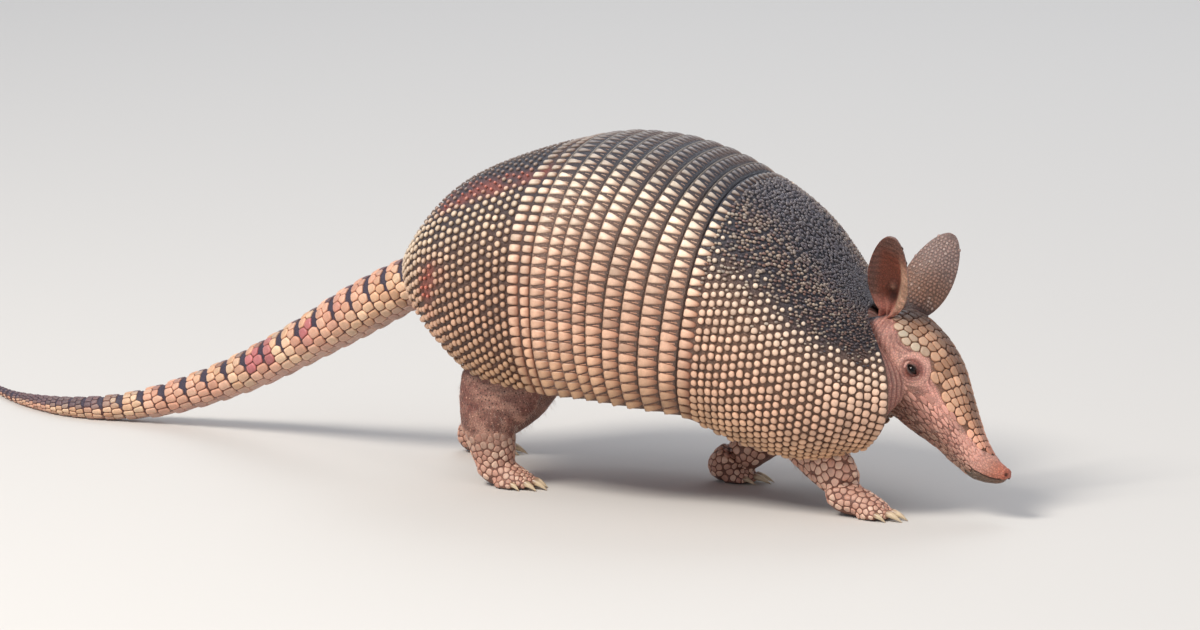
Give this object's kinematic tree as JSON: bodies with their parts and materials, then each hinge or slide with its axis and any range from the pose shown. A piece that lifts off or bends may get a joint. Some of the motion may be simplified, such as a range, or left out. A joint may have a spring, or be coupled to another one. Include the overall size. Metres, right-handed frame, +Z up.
{
  "type": "nine-banded armadillo",
  "caption": "Life-size still model of an armadillo walking with its head lowered: domed shell of shields and bands, upright ears, long pointed snout and long tapering tail.",
  "frame": {"origin": "middle of the bounding box at floor level, under the belly", "axes": "+X towards the head, +Z up, the animal's right side is -Y"},
  "size_m": [0.6719, 0.1808, 0.1857],
  "materials": {
    "shell": "horn-covered bony scutes: pale cream-tan beads and wedges on dark brown-grey ground, satin",
    "head_skin": "pink-brown skin with horny tan head scales and wrinkled leathery ears, satin to dull",
    "body_skin": "brownish pink wrinkled skin with small scales on the legs and feet and sparse hair, dull",
    "tail_scales": "rings of horny tan scales with dark blue-grey saddles on top, satin",
    "claw": "grey-tan horn with fine lengthwise lines, satin",
    "eye": "glossy black eyeball"
  },
  "bodies": {
    "root": {"shell_pelvic": "shell", "band_1": "shell", "band_2": "shell", "band_3": "shell", "band_4": "shell", "band_5": "shell", "band_6": "shell", "band_7": "shell", "band_8": "shell", "band_9": "shell", "shell_scapular": "shell", "trunk": "body_skin", "neck": "body_skin", "head": "head_skin", "eye_right": "eye", "ear_right": "head_skin", "eye_left": "eye", "ear_left": "head_skin", "tail_1": "tail_scales", "tail_2": "tail_scales", "tail_3": "tail_scales", "tail_4": "tail_scales", "tail_5": "tail_scales", "tail_6": "tail_scales", "leg_front_right": "body_skin", "foot_front_right": "body_skin", "claw_front_right_1": "claw", "claw_front_right_2": "claw", "claw_front_right_3": "claw", "claw_front_right_4": "claw", "leg_front_left": "body_skin", "foot_front_left": "body_skin", "claw_front_left_1": "claw", "claw_front_left_2": "claw", "claw_front_left_3": "claw", "claw_front_left_4": "claw", "leg_hind_right": "body_skin", "foot_hind_right": "body_skin", "claw_hind_right_1": "claw", "claw_hind_right_2": "claw", "claw_hind_right_3": "claw", "claw_hind_right_4": "claw", "claw_hind_right_5": "claw", "leg_hind_left": "body_skin", "foot_hind_left": "body_skin", "claw_hind_left_1": "claw", "claw_hind_left_2": "claw", "claw_hind_left_3": "claw", "claw_hind_left_4": "claw", "claw_hind_left_5": "claw"}
  },
  "joints": []
}
